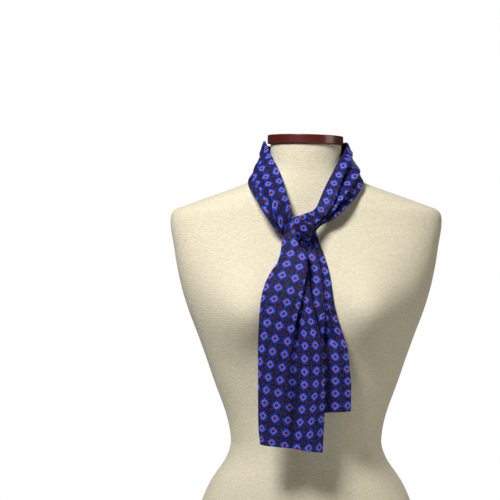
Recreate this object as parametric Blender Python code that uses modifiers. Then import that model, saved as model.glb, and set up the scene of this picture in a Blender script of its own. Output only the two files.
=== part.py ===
# Foulard cravat knotted once at the throat of a limbless dress form.
# Millimetres in the tables, metres in the scene; +Z up, the front faces -Y.
import math
import bmesh
import bpy
from mathutils import Vector

MM = 0.001
WALL = 1.1          # hemmed silk, drawn as one wall
SEAM = 0.3          # kept open between pieces that meet

BOARD_HEIGHT = 20.0
BOARD_MARGIN = 5.0
BOARD_BEVEL = 2.5
FORM_BASE = BOARD_HEIGHT + SEAM
NECK_TOP = 680.4
CAP_SIDE = -0.4
CAP_RADIUS = 55.6
CAP_THICK = 12.4
CAP_BEVEL = 0.9
CAP_TILT = 1.3      # degrees, lower at the wearer's left
RING_POINTS = 48

# Sections of the form: height, half width, front depth, back depth, squareness.
FORM_SECTIONS = (
    (FORM_BASE, 163, 96, 108, 2.15),
    (24, 167, 99, 112, 2.15),
    (50, 171, 102, 118, 2.15),
    (80, 172, 103, 122, 2.15),
    (120, 166, 103, 122, 2.15),
    (162, 152, 101, 112, 2.15),
    (187, 141, 99, 103, 2.15),
    (203, 131, 97, 96, 2.15),
    (222, 118, 95, 89, 2.1),
    (243, 110, 94, 84, 2.1),
    (262, 110.5, 94, 83, 2.1),
    (280, 114, 95, 84, 2.1),
    (300, 120, 97, 86, 2.1),
    (335, 133, 102, 91, 2.15),
    (370, 145, 107, 96, 2.2),
    (406, 158, 111, 100, 2.25),
    (440, 171, 112, 103, 2.3),
    (473, 181, 109, 106, 2.35),
    (505, 188, 97, 107, 2.4),
    (533, 192.5, 83, 105, 2.4),
    (556, 196.5, 71.5, 101, 2.35),
    (570, 197.5, 66, 96, 2.3),
    (579, 196, 63.3, 91, 2.25),
    (585.5, 191, 61.7, 87.5, 2.2),
    (590, 181, 60.8, 84.5, 2.15),
    (596, 164, 59.6, 80.5, 2.1),
    (603, 145, 58.2, 76, 2.1),
    (611, 122.5, 56.6, 71, 2.05),
    (618, 103, 55.2, 66.8, 2.0),
    (625, 85, 54, 63, 2.0),
    (632, 71.5, 53, 59.5, 2.0),
    (640, 61, 52, 57, 2.0),
    (650, 54.5, 51.5, 55, 2.0),
    (664, 52, 51.5, 53.5, 2.0),
    (NECK_TOP, 51.5, 51.5, 53, 2.0),
)
# Bust: side, height, swell, reach across, reach up, reach down.
BUST = ((-88, 440, 34, 47, 46, 52), (88, 440, 34, 47, 46, 52))

# A strand runs through sections. A section gives the inner edge of what shows, the
# outer edge, the radius its pleats turn at, how far it is seated by its edges (1)
# or by its highest fold (0), how far it stands off there, and seven panels as width
# and heading pairs: a turned edge, three faces with two pleats between them, and
# the other edge. Heading 0 lies along the face, 180 doubles back.
STRAND = (
    # behind the knot, then up the wearer's right side of the neck
    ((-3, -87.5, 561), (-7, -87.5, 545), 1.45, 0, 0,
     ((4, 150), (11, 12), (6, -178), (9, 12), (4, -120), (8, 4), (4, -120))),
    ((-21.6, -89.5, 576.4), (-34.4, -97, 548.8), 1.5, 0.4, 1,
     ((5, 170), (27, 12), (8, -177), (10, 12), (8, -177), (8, 2), (5, -185))),
    ((-24.9, -83, 589.8), (-55.5, -94, 567.9), 1.5, 1, 3,
     ((6, 174), (33, 12), (7, -150), (10, 12), (7, -170), (11, -8), (8, -188))),
    ((-29.8, -70, 606.3), (-71.7, -78, 595.2), 1.6, 1, 3,
     ((10, 178), (36, 11), (5, -60), (10, 10), (4, -120), (12, -12), (12, -188))),
    ((-35.1, -54, 627.2), (-81.2, -53, 612.8), 1.7, 1, 3,
     ((14, 182), (40, 10), (5, -42), (8, 8), (3, -60), (14, -14), (15, -190))),
    ((-42.8, -37, 647.8), (-82.4, -37, 621.8), 1.8, 1, 3,
     ((17, 184), (36, 8), (5, -35), (10, 8), (4, -45), (16, -14), (16, -190))),
    ((-51.4, -20, 667), (-76.5, 4, 633), 1.8, 1, 2,
     ((18, 182), (23, 6), (4, -34), (16, 4), (4, -40), (22, -8), (17, -186))),
    # round the nape
    ((-59.6, 4, 685.5), (-68.5, 30, 632), 1.6, 1, 0.5,
     ((18, 182), (22, 3), (4, -26), (17, 4), (4, -34), (21, -8), (16, -186))),
    ((-54.5, 27, 679.3), (-62, 52, 630), 1.8, 1, 2,
     ((18, 182), (21, 6), (4, -36), (18, 4), (4, -38), (21, -8), (16, -186))),
    ((-38, 44, 678), (-53, 64, 628), 1.8, 1, 2,
     ((17, 182), (20, 8), (5, -46), (19, 5), (4, -40), (21, -10), (16, -188))),
    ((-18, 55.5, 677.5), (-20, 74, 626), 1.8, 1, 2,
     ((16, 182), (21, 10), (5, -56), (19, 5), (4, -36), (21, -12), (16, -188))),
    ((14, 56, 677), (18, 74, 625.5), 1.8, 1, 2,
     ((16, 182), (22, 10), (5, -50), (17, 5), (5, -46), (21, -12), (16, -188))),
    ((42, 39, 677), (52, 64.5, 627.5), 1.8, 1, 2,
     ((16, 182), (21, 8), (4, -44), (17, 5), (5, -54), (22, -10), (15, -188))),
    ((58.6, 6, 683.5), (68.5, 36, 632), 1.6, 1, 0.5,
     ((15, 182), (19, 6), (5, -44), (18, 4), (5, -46), (23, -8), (16, -186))),
    ((52.8, -20, 666), (76.5, 4, 633), 1.8, 1, 1.8,
     ((12, 182), (18, 8), (6, -60), (18, 6), (5, -48), (24, -10), (16, -186))),
    # down the wearer's left side of the neck
    ((45.2, -35, 653.8), (78.9, -42, 619), 1.7, 1, 3,
     ((8, 182), (17.5, 12), (7, -95), (26, 10), (6, -60), (15, -20), (15, -190))),
    ((36, -50, 636), (69.9, -58, 602.8), 1.6, 1, 3,
     ((6, 180), (17, 14), (8, -135), (24, 12), (6, -80), (14, -22), (12, -190))),
    ((26.1, -64, 616.9), (57.8, -71, 589.5), 1.5, 1, 3,
     ((6, 176), (17, 14), (9, -165), (20, 14), (7, -125), (14, -20), (9, -188))),
    ((17.7, -79, 598.7), (43, -85, 576.6), 1.5, 0.7, 2,
     ((5, 174), (17, 12), (9, -174), (14, 12), (8, -165), (15, -8), (6, -186))),
    ((12.2, -95, 586.3), (25.6, -96, 566.5), 1.45, 0, 0,
     ((4, 170), (15, 12), (8, -178), (11, 12), (8, -178), (12, 2), (4, -182))),
    # across the throat, under the wrap
    ((-0.1, -106.5, 579.7), (14, -105.5, 553.7), 1.45, 0, 0,
     ((4, 160), (18, 12), (8, -178), (13, 12), (8, -178), (14, 4), (4, -170))),
    ((-12.1, -110, 575.4), (4.1, -109, 547.4), 1.45, 0, 0,
     ((4, 140), (20, 11), (8, -178), (14, 12), (8, -178), (14, 5), (4, -130))),
    ((-21.9, -111.5, 571.2), (-2.3, -111, 543.1), 1.45, 0, 0,
     ((4, 110), (22, 10), (8, -178), (15, 12), (8, -178), (15, 6), (4, -90))),
    # out from under it as the long end
    ((-29.7, -112.5, 560), (-3.7, -113, 540.3), 1.5, 0, 0,
     ((5, 80), (22, 8), (9, -178), (16, 10), (8, -178), (16, 6), (5, -60))),
    ((-35.6, -114.5, 543.8), (-3.1, -116, 536.8), 1.5, 0, 0,
     ((7, 45), (25, 5), (14, -178), (16, 6), (6, -174), (16, 4), (7, -40))),
    ((-38.2, -121, 529.8), (-1.8, -123.5, 525.6), 1.6, 0, 0,
     ((8, 34), (29, 3), (20, -178), (11, 4), (4, -10), (3, -6), (2, -16))),
    ((-42.5, -130, 514.4), (-1.3, -132.5, 510.3), 1.8, 0, 0,
     ((9, 34), (33, 2), (22, -178), (13, 3), (4, -14), (3, -6), (2, -16))),
    ((-52.4, -139, 499.2), (-0.5, -142, 496.4), 2, 0, 0,
     ((10, 34), (41, 0), (22, -176), (14, 4), (4, -12), (4, -4), (2, -20))),
    ((-61.5, -146.5, 479.9), (1.3, -151, 477.1), 2.1, 0, 0,
     ((10, 32), (45, -2), (16, -172), (12, 8), (3, -6), (4, 2), (5, -24))),
    ((-66.7, -152, 457.9), (4.8, -158, 455.1), 2.2, 0, 0,
     ((10, 30), (47, -4), (10, -160), (11, 18), (4, -2), (4, 2), (6, -26))),
    ((-69.2, -155, 430.6), (9.6, -162, 429.1), 2.2, 0, 0,
     ((10, 30), (46, -6), (8, -115), (14, 28), (4, -2), (6, -2), (8, -28))),
    ((-70.6, -156, 396.3), (16.5, -163.5, 396.2), 3, 0, 0,
     ((9, 30), (43, -8), (8, -58), (14, 30), (6, 0), (8, -6), (9, -28))),
    ((-70.6, -155, 359.2), (19.9, -162.5, 358.6), 6, 0, 0,
     ((9, 28), (38, -8), (9, -36), (14, 24), (8, 2), (12, -8), (10, -26))),
    ((-70.6, -154, 317.8), (20.6, -161.5, 316.7), 9, 0, 0,
     ((9, 26), (39, -8), (10, -26), (14, 20), (8, 2), (18, -8), (10, -24))),
    ((-70, -153, 281.7), (19.4, -160, 280.2), 11, 0, 0,
     ((9, 26), (39, -8), (10, -22), (14, 18), (8, 2), (18, -8), (10, -26))),
    ((-67.8, -152, 257.2), (17.6, -159, 245.6), 11, 0, 0,
     ((10, 30), (39, -9), (10, -22), (14, 18), (8, 2), (18, -8), (10, -30))),
)
# The strand brought over the front, from beneath the knot up to the throat.
WRAP = (
    ((-3, -103.5, 537.3), (6, -102.5, 541), 1.7, 0, 0, ((4, 30), (6, 10), (4, -20), (4, -40))),
    ((-6, -115, 540.8), (6.5, -112, 545.6), 1.7, 0, 0, ((5, 36), (6, 12), (6, -12), (4, -46))),
    ((-11.8, -119.5, 547.2), (8.3, -116, 554.3), 1.7, 0, 0, ((7, 36), (9, 12), (8, -12), (7, -48))),
    ((-16, -121, 553.5), (8.9, -116.5, 561.9), 1.7, 0, 0, ((8, 36), (11, 12), (10, -14), (8, -50))),
    ((-19.1, -121, 561), (0.1, -118.5, 566.4), 1.7, 0, 0, ((7, 36), (9, 12), (8, -14), (6, -46))),
    ((-20.5, -119.5, 567), (-9.8, -117.5, 569.6), 1.7, 0, 0, ((4, 36), (5, 12), (4, -12), (3, -42))),
    ((-20.3, -116, 570.8), (-12.5, -115, 572.8), 1.7, 0, 0, ((3, 30), (4, 10), (3, -10), (2, -35))),
    ((-19, -113.7, 571.8), (-12.5, -112.9, 573.6), 1.7, 0, 0, ((3, 20), (3, 5), (2, -5), (2, -20))),
)
# The short end, from behind the knot to its hem.
SHORT = (
    ((-10, -92.5, 566), (8, -91.5, 561), 1.3, 0, 0, ((5, 20), (12, 6), (6, -178), (8, 8), (5, -6))),
    ((-11.2, -92.8, 549.5), (12.8, -92.8, 551), 1.3, 0, 0, ((5, 20), (17, 6), (8, -178), (11, 8), (7, -6))),
    ((-9.8, -96, 538.3), (16.2, -96.5, 539.7), 1.4, 0, 0, ((6, 22), (20, 5), (12, -178), (14, 6), (9, -8))),
    ((-10, -101.5, 521.4), (22.8, -102.5, 521.4), 1.6, 0, 0,
     ((7, 24), (24, 3), (15, -178), (18, 6), (11, -10))),
    ((-10.9, -111, 501.8), (28.6, -112.5, 501.8), 1.7, 0, 0,
     ((8, 24), (28, 2), (17, -178), (20, 6), (12, -14))),
    ((-13.3, -123, 479.6), (32.2, -124, 479.6), 1.8, 0, 0,
     ((9, 24), (32, 0), (16, -176), (20, 8), (12, -16))),
    ((-14.9, -134, 457.6), (35.1, -133.5, 457.5), 1.9, 0, 0,
     ((9, 24), (35, -2), (15, -174), (20, 10), (12, -18))),
    ((-17.2, -139, 435.6), (40.1, -139, 435.6), 2, 0, 0,
     ((9, 24), (38, -4), (12, -164), (22, 14), (12, -20))),
    ((-20.1, -141, 415), (46.2, -142, 414.9), 2, 0, 0, ((9, 22), (42, -5), (10, -130), (24, 20), (12, -22))),
    ((-22.2, -141.5, 394.4), (52.6, -143, 394.2), 3, 0, 0,
     ((9, 20), (46, -6), (9, -60), (25, 18), (12, -20))),
    ((-24.3, -141, 372.2), (55.8, -142.5, 372), 5, 0, 0, ((9, 20), (49, -6), (8, -30), (25, 12), (12, -18))),
    ((-25.6, -140, 343.4), (58.7, -141, 343.6), 7, 0, 0, ((9, 20), (51, -5), (8, -20), (24, 10), (11, -18))),
    ((-26.3, -139, 318.8), (58.9, -140, 320.6), 8, 0, 0, ((9, 20), (51, -5), (8, -16), (24, 8), (11, -20))),
    ((-26.9, -138, 297.4), (58.6, -139.5, 301.8), 8, 0, 0, ((9, 22), (51, -5), (8, -16), (24, 8), (11, -24))),
)

# Name, table, first and last section, rows along, columns over a panel, columns
# over a pleat's turn, side that faces out.
STRETCHES = (
    ("neck_band_right", STRAND, 0.5, 6, 17, 1, 3, 1),
    ("neck_band_back", STRAND, 6, 14, 18, 1, 3, 1),
    ("neck_band_left", STRAND, 14, 19, 16, 1, 3, 1),
    ("knot_core", STRAND, 19, 21.95, 6, 1, 3, 1),
    ("knot_wrap", WRAP, 0, 7, 16, 3, 1, -1),
    ("tail_long", STRAND, 22.03, 35, 34, 2, 2, 1),
    ("tail_short", SHORT, 0, 13, 28, 2, 2, 1),
)


def blend(a, b, c, d, t):
    # smooth pass through b and c
    curve = (2 * a - 5 * b + 4 * c - d) * t ** 2 + (3 * b - a - 3 * c + d) * t ** 3
    return 0.5 * (2 * b + (c - a) * t + curve)


def sample(rows, t):
    # the table's numbers at place t, counted in sections
    last = len(rows) - 1
    i = min(int(t), last - 1)
    near = (rows[max(i - 1, 0)], rows[i], rows[i + 1], rows[min(i + 2, last)])
    return [blend(a, b, c, d, t - i) for a, b, c, d in zip(*near)]


def flatten(section):
    inner, outer, turn, seat, lift, panels = section
    numbers = list(inner) + list(outer) + [turn, seat, lift]
    for width, heading in panels:
        numbers += [width, heading]
    return numbers


def foldLine(panels, turn, perPanel, perTurn):
    # across the cloth: distance across, height off the face, length of cloth used
    x = n = used = 0.0
    points = [(x, n, used)]
    for k, (width, heading) in enumerate(panels):
        angle = math.radians(heading)
        for _ in range(perPanel):
            step = max(width, 0.6) / perPanel
            x += step * math.cos(angle)
            n += step * math.sin(angle)
            used += step
            points.append((x, n, used))
        if k + 1 < len(panels):
            change = math.radians(panels[k + 1][1]) - angle
            step = max(turn * abs(change), 0.8) / perTurn
            for j in range(perTurn):
                middle = angle + change * (j + 0.5) / perTurn
                x += step * math.cos(middle)
                n += step * math.sin(middle)
                used += step
                points.append((x, n, used))
    return points


def sectionCurve(numbers, along, side, perPanel, perTurn):
    inner = Vector(numbers[0:3])
    outer = Vector(numbers[3:6])
    turn, seat, lift = numbers[6:9]
    panels = [(numbers[i], numbers[i + 1]) for i in range(9, len(numbers), 2)]
    line = foldLine(panels, turn, perPanel, perTurn)
    near = min(line)
    far = max(line)
    top = max(p[1] for p in line)
    slope = (far[1] - near[1]) / (far[0] - near[0])
    across = outer - inner
    scale = across.length / (far[0] - near[0])
    across.normalize()
    normal = along.cross(across) * side
    normal.normalize()
    points = []
    for x, n, _ in line:
        edges = near[1] + slope * (x - near[0])
        height = n + lift - seat * edges - (1 - seat) * top
        points.append(inner + across * ((x - near[0]) * scale) + normal * height)
    return points


def middleOf(numbers):
    return (Vector(numbers[0:3]) + Vector(numbers[3:6])) / 2


def clothRows(table, first, last, rows, perPanel, perTurn, side):
    # rows evenly spaced, each stretch stopping a seam short of both its ends
    flat = [flatten(s) for s in table]
    fine = [first + (last - first) * k / 200 for k in range(201)]
    lengths = [0.0]
    for a, b in zip(fine, fine[1:]):
        lengths.append(lengths[-1] + (middleOf(sample(flat, b)) - middleOf(sample(flat, a))).length)
    total = lengths[-1]
    out = []
    for r in range(rows + 1):
        want = SEAM + (total - 2 * SEAM) * r / rows
        k = max(j for j in range(200) if lengths[j] <= want)
        t = fine[k] + (want - lengths[k]) / max(lengths[k + 1] - lengths[k], 1e-6) * (fine[1] - fine[0])
        before = middleOf(sample(flat, max(t - 0.3, 0)))
        after = middleOf(sample(flat, min(t + 0.3, len(flat) - 1)))
        out.append(sectionCurve(sample(flat, t), (after - before).normalized(), side, perPanel, perTurn))
    return out


def addMaterial(obj, colour, roughness):
    material = bpy.data.materials.new(obj.name)
    material.use_nodes = True
    shader = material.node_tree.nodes["Principled BSDF"]
    shader.inputs["Base Color"].default_value = (*colour, 1)
    shader.inputs["Roughness"].default_value = roughness
    obj.data.materials.append(material)


def addObject(name, mesh, colour, roughness):
    obj = bpy.data.objects.new(name, mesh)
    collection.objects.link(obj)
    addMaterial(obj, colour, roughness)
    return obj


def addCloth(name, table, first, last, rows, perPanel, perTurn, side):
    curves = clothRows(table, first, last, rows, perPanel, perTurn, side)
    columns = len(curves[0]) - 1
    bm = bmesh.new()
    bmesh.ops.create_grid(bm, x_segments=columns, y_segments=rows, size=0.5)
    for v in bm.verts:
        c = round((v.co.x + 0.5) * columns)
        r = round((v.co.y + 0.5) * rows)
        v.co = curves[r][c] * MM
    bmesh.ops.recalc_face_normals(bm, faces=bm.faces)
    mesh = bpy.data.meshes.new(name)
    bm.to_mesh(mesh)
    bm.free()
    obj = addObject(name, mesh, (0.03, 0.025, 0.11), 0.45)
    wall = obj.modifiers.new("wall", "SOLIDIFY")
    wall.thickness = WALL * MM
    wall.offset = 0
    wall.use_even_offset = True
    obj.data.polygons.foreach_set("use_smooth", [True] * len(obj.data.polygons))
    return obj


def formPoint(section, angle):
    height, half, front, back, power = section
    c = math.cos(angle)
    s = math.sin(angle)
    x = half * math.copysign(abs(c) ** (2 / power), c)
    depth = front if s < 0 else back
    y = depth * math.copysign(abs(s) ** (2 / power), s)
    if y < 0:
        for side, up, swell, wide, above, below in BUST:
            reach = above if height > up else below
            away = ((x - side) / wide) ** 2 + ((height - up) / reach) ** 2
            y -= swell * math.exp(-away) * min(1.0, -y / 40)
    if height == NECK_TOP:
        height -= x * math.tan(math.radians(CAP_TILT))
    return Vector((x, y, height)) * MM


def addForm():
    # a loft: every ring of the padded body differs from the next
    bm = bmesh.new()
    rings = []
    for section in FORM_SECTIONS:
        ring = [bm.verts.new(formPoint(section, 2 * math.pi * k / RING_POINTS)) for k in range(RING_POINTS)]
        rings.append(ring)
    for low, high in zip(rings, rings[1:]):
        for k in range(RING_POINTS):
            j = (k + 1) % RING_POINTS
            bm.faces.new((low[k], low[j], high[j], high[k]))
    bm.faces.new(list(reversed(rings[0])))
    bm.faces.new(rings[-1])
    mesh = bpy.data.meshes.new("dress_form")
    bm.to_mesh(mesh)
    bm.free()
    obj = addObject("dress_form", mesh, (0.78, 0.74, 0.62), 0.9)
    for face in obj.data.polygons:
        face.use_smooth = len(face.vertices) == 4
    return obj


def addCap():
    bm = bmesh.new()
    bmesh.ops.create_cone(bm, cap_ends=True, segments=RING_POINTS, radius1=CAP_RADIUS * MM,
                          radius2=CAP_RADIUS * MM, depth=CAP_THICK * MM)
    tilt = math.radians(CAP_TILT)
    seat = NECK_TOP + SEAM + CAP_THICK / 2
    for v in bm.verts:
        x, z = v.co.x, v.co.z
        v.co.x = x * math.cos(tilt) + z * math.sin(tilt) + CAP_SIDE * MM
        v.co.z = -x * math.sin(tilt) + z * math.cos(tilt) + seat * MM
    mesh = bpy.data.meshes.new("neck_cap")
    bm.to_mesh(mesh)
    bm.free()
    obj = addObject("neck_cap", mesh, (0.17, 0.03, 0.02), 0.25)
    edge = obj.modifiers.new("edge", "BEVEL")
    edge.width = CAP_BEVEL * MM
    edge.segments = 2
    edge.limit_method = "ANGLE"
    edge.angle_limit = math.radians(50)
    return obj


def addBoard():
    bm = bmesh.new()
    bmesh.ops.create_circle(bm, cap_ends=True, segments=RING_POINTS, radius=1)
    for v in bm.verts:
        angle = math.atan2(v.co.y, v.co.x)
        edge = formPoint(FORM_SECTIONS[1], angle)
        v.co = edge + Vector((edge.x, edge.y, 0)).normalized() * BOARD_MARGIN * MM
        v.co.z = 0
    raised = bmesh.ops.extrude_face_region(bm, geom=list(bm.faces))
    for item in raised["geom"]:
        if isinstance(item, bmesh.types.BMVert):
            item.co.z = BOARD_HEIGHT * MM
    bmesh.ops.recalc_face_normals(bm, faces=bm.faces)
    mesh = bpy.data.meshes.new("base_board")
    bm.to_mesh(mesh)
    bm.free()
    obj = addObject("base_board", mesh, (0.17, 0.03, 0.02), 0.3)
    edge = obj.modifiers.new("edge", "BEVEL")
    edge.width = BOARD_BEVEL * MM
    edge.segments = 2
    edge.limit_method = "ANGLE"
    edge.angle_limit = math.radians(50)
    return obj


for old in list(bpy.data.objects):
    bpy.data.objects.remove(old)
collection = bpy.data.collections.new("cravat_on_dress_form")
bpy.context.scene.collection.children.link(collection)

addForm()
addCap()
addBoard()
for stretch in STRETCHES:
    addCloth(*stretch)
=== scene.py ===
import bmesh
import bpy
import math
import numpy as np
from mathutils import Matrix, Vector


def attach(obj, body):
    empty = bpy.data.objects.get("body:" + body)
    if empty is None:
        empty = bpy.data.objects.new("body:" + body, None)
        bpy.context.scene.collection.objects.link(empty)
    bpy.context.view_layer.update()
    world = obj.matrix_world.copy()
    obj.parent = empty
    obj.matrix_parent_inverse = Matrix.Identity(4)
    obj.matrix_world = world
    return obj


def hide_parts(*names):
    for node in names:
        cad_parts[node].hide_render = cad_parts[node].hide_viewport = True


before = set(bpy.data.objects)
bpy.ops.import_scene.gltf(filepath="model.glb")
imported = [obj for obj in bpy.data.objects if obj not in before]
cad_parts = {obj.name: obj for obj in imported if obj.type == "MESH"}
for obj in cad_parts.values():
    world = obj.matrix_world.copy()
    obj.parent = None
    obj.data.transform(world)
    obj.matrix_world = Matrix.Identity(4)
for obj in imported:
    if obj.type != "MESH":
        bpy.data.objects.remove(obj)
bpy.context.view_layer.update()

mm = 0.001  # the tables are in millimetres
seamGap = 0.3  # between the neck and its cap


def srgb(r, g, b):
    def one(v):
        v = v / 255
        return v / 12.92 if v <= 0.04045 else ((v + 0.055) / 1.055) ** 2.4
    return (one(r), one(g), one(b), 1)


# A smooth curve from b to c, with a before them and d after.
def blend(a, b, c, d, t):
    curve = (2 * a - 5 * b + 4 * c - d) * t ** 2 + (3 * b - a - 3 * c + d) * t ** 3
    return 0.5 * (2 * b + (c - a) * t + curve)


def sample(rows, t):
    last = len(rows) - 1
    i = min(int(t), last - 1)
    near = (rows[max(i - 1, 0)], rows[i], rows[i + 1], rows[min(i + 2, last)])
    return [blend(a, b, c, d, t - i) for a, b, c, d in zip(*near)]


def linkedObject(name, bm):
    mesh = bpy.data.meshes.new(name)
    bm.to_mesh(mesh)
    bm.free()
    obj = bpy.data.objects.new(name, mesh)
    bpy.context.scene.collection.objects.link(obj)
    return obj


def newMaterial(name):
    material = bpy.data.materials.new(name)
    material.use_nodes = True
    nodes = material.node_tree.nodes
    links = material.node_tree.links
    shader = nodes["Principled BSDF"]
    return material, nodes, links, shader


def setInputs(node, values):
    for name, value in values.items():
        node.inputs[name].default_value = value


def mathNode(nodes, links, kind, a, b=None):
    node = nodes.new("ShaderNodeMath")
    node.operation = kind
    for i, value in enumerate((a, b)):
        if value is None:
            continue
        if isinstance(value, (int, float)):
            node.inputs[i].default_value = value
        else:
            links.new(value, node.inputs[i])
    return node.outputs[0]


def mixColour(nodes, links, factor, a, b):
    node = nodes.new("ShaderNodeMix")
    node.data_type = "RGBA"
    for socket, value in ((node.inputs[0], factor), (node.inputs[6], a), (node.inputs[7], b)):
        if isinstance(value, (int, float, tuple)):
            socket.default_value = value
        else:
            links.new(value, socket)
    return node.outputs[2]


def noiseNode(nodes, links, vector, values):
    node = nodes.new("ShaderNodeTexNoise")
    links.new(vector, node.inputs["Vector"])
    setInputs(node, values)
    return node.outputs["Fac"]


def waveNode(nodes, links, vector, direction, values):
    node = nodes.new("ShaderNodeTexWave")
    node.wave_type = "BANDS"
    node.bands_direction = direction
    links.new(vector, node.inputs["Vector"])
    setInputs(node, values)
    return node.outputs["Fac"]


def rangeNode(nodes, links, value, values):
    node = nodes.new("ShaderNodeMapRange")
    links.new(value, node.inputs["Value"])
    setInputs(node, values)
    return node.outputs["Result"]


def scaledVector(nodes, links, vector, scale):
    node = nodes.new("ShaderNodeMapping")
    node.inputs["Scale"].default_value = scale
    links.new(vector, node.inputs["Vector"])
    return node.outputs[0]


def uvVector(nodes, name):
    node = nodes.new("ShaderNodeUVMap")
    node.uv_map = name
    return node.outputs[0]


def bumpNode(nodes, links, height, values, normal=None):
    node = nodes.new("ShaderNodeBump")
    setInputs(node, values)
    links.new(height, node.inputs["Height"])
    if normal is not None:
        links.new(normal, node.inputs["Normal"])
    return node.outputs[0]


# 1 nearer than a reach, 0 past it, softly.
def softStep(nodes, links, value, reach, soft):
    node = nodes.new("ShaderNodeMapRange")
    node.interpolation_type = "SMOOTHSTEP"
    setInputs(node, {"From Min": reach - soft, "From Max": reach + soft, "To Min": 1, "To Max": 0})
    links.new(value, node.inputs["Value"])
    return node.outputs["Result"]


# Silk twill. rings: how far each colour of a motif reaches from its middle, how soft its
# edge is, and the colour.
foulard = {
    "ground": srgb(19, 17, 42), "groundFleck": srgb(66, 50, 112), "groundDarkAndCreaseShade": srgb(7, 6, 15),
    "rings": (
        (0.37, 0.05, srgb(24, 74, 212)),
        (0.24, 0.05, srgb(100, 142, 236)),
        (0.18, 0.03, srgb(46, 24, 80)),
        (0.155, 0.03, srgb(132, 4, 8)),
    ),
    "roundness": 1.22, "wobble": 0.09, "wobbleNoise": {"Scale": 34, "Detail": 2},
    "fleckNoise": {"Scale": 38, "Detail": 3, "Roughness": 0.72},
    "fleckRange": {"From Min": 0.47, "From Max": 0.62},
    "darkRange": {"From Min": 0.47, "From Max": 0.36},
    # foldShade: how far the painted shade in the creases darkens the silk
    "foldShade": 0.85, "roughness": {"To Min": 0.54, "To Max": 0.68},
    "surface": {
        "Sheen Weight": 0.02, "Sheen Roughness": 0.4, "Sheen Tint": (0.6, 0.66, 1, 1),
        "Specular IOR Level": 0.13,
    },
    "twill": {"Scale": 45, "Distortion": 0.6}, "twillBump": {"Strength": 0.15, "Distance": 0.0004},
    "crushStretch": (8.5, 2.4, 1), "crush": {"Scale": 1.2, "Detail": 3, "Distortion": 0.8},
    "crushBump": {"Strength": 0.6, "Distance": 0.003},
}


# How far a point of the print lies from the middle of its motif, as a rounded diamond.
def motifReach(nodes, links, flat):
    f = foulard
    split = nodes.new("ShaderNodeSeparateXYZ")
    links.new(uvVector(nodes, "print"), split.inputs[0])
    powers = []
    for axis in (0, 1):
        part = mathNode(nodes, links, "FRACT", split.outputs[axis])
        centred = mathNode(nodes, links, "SUBTRACT", part, 0.5)
        half = mathNode(nodes, links, "ABSOLUTE", centred)
        powers.append(mathNode(nodes, links, "POWER", half, f["roundness"]))
    both = mathNode(nodes, links, "ADD", powers[0], powers[1])
    diamond = mathNode(nodes, links, "POWER", both, 1 / f["roundness"])
    wobble = noiseNode(nodes, links, flat, f["wobbleNoise"])
    centred = mathNode(nodes, links, "SUBTRACT", wobble, 0.5)
    shift = mathNode(nodes, links, "MULTIPLY", centred, f["wobble"])
    return mathNode(nodes, links, "ADD", diamond, shift)


def foulardMaterial():
    f = foulard
    material, nodes, links, shader = newMaterial("foulard_silk")
    flat = uvVector(nodes, "cloth")
    reached = motifReach(nodes, links, flat)
    fleck = noiseNode(nodes, links, flat, f["fleckNoise"])
    light = rangeNode(nodes, links, fleck, f["fleckRange"])
    dark = rangeNode(nodes, links, fleck, f["darkRange"])
    colour = mixColour(nodes, links, light, f["ground"], f["groundFleck"])
    colour = mixColour(nodes, links, dark, colour, f["groundDarkAndCreaseShade"])
    for reach, soft, tint in f["rings"]:
        inside = softStep(nodes, links, reached, reach, soft)
        colour = mixColour(nodes, links, inside, colour, tint)
    paintedCreaseShade = nodes.new("ShaderNodeSeparateXYZ")  # painted shade: the hollows of the creases, darkened
    links.new(uvVector(nodes, "fold"), paintedCreaseShade.inputs[0])
    deep = mathNode(nodes, links, "MULTIPLY", paintedCreaseShade.outputs[0], f["foldShade"])
    colour = mixColour(nodes, links, deep, colour, f["groundDarkAndCreaseShade"])
    links.new(colour, shader.inputs["Base Color"])
    links.new(rangeNode(nodes, links, fleck, f["roughness"]), shader.inputs["Roughness"])
    setInputs(shader, f["surface"])
    twill = waveNode(nodes, links, flat, "DIAGONAL", f["twill"])
    stretched = scaledVector(nodes, links, flat, f["crushStretch"])
    crush = noiseNode(nodes, links, stretched, f["crush"])
    woven = bumpNode(nodes, links, twill, f["twillBump"])
    links.new(bumpNode(nodes, links, crush, f["crushBump"], woven), shader.inputs["Normal"])
    return material


jersey = {
    "shadow": srgb(189, 181, 154), "light": srgb(234, 228, 208), "cloud": srgb(214, 206, 182),
    "cloudShare": 0.25, "cloudNoise": {"Scale": 9},
    "grainStretch": (1, 1, 2.4), "grain": {"Scale": 210, "Detail": 3},
    "knit": {"Scale": 120, "Distortion": 2.2, "Detail": 2, "Detail Scale": 3}, "knitShare": 0.22,
    "bump": {"Strength": 0.55, "Distance": 0.001},
    "surface": {"Roughness": 0.92, "Sheen Weight": 0.15, "Specular IOR Level": 0.2},
}


def jerseyMaterial():
    j = jersey
    material, nodes, links, shader = newMaterial("jersey")
    place = nodes.new("ShaderNodeTexCoord").outputs["Object"]
    knit = waveNode(nodes, links, place, "Z", j["knit"])
    grain = noiseNode(nodes, links, scaledVector(nodes, links, place, j["grainStretch"]), j["grain"])
    cloud = noiseNode(nodes, links, place, j["cloudNoise"])
    tone = mixColour(nodes, links, grain, j["shadow"], j["light"])
    faint = mathNode(nodes, links, "MULTIPLY", cloud, j["cloudShare"])
    tone = mixColour(nodes, links, faint, tone, j["cloud"])
    links.new(tone, shader.inputs["Base Color"])
    setInputs(shader, j["surface"])
    rows = mathNode(nodes, links, "MULTIPLY", knit, j["knitShare"])
    height = mathNode(nodes, links, "ADD", rows, grain)
    links.new(bumpNode(nodes, links, height, j["bump"]), shader.inputs["Normal"])
    return material


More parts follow.
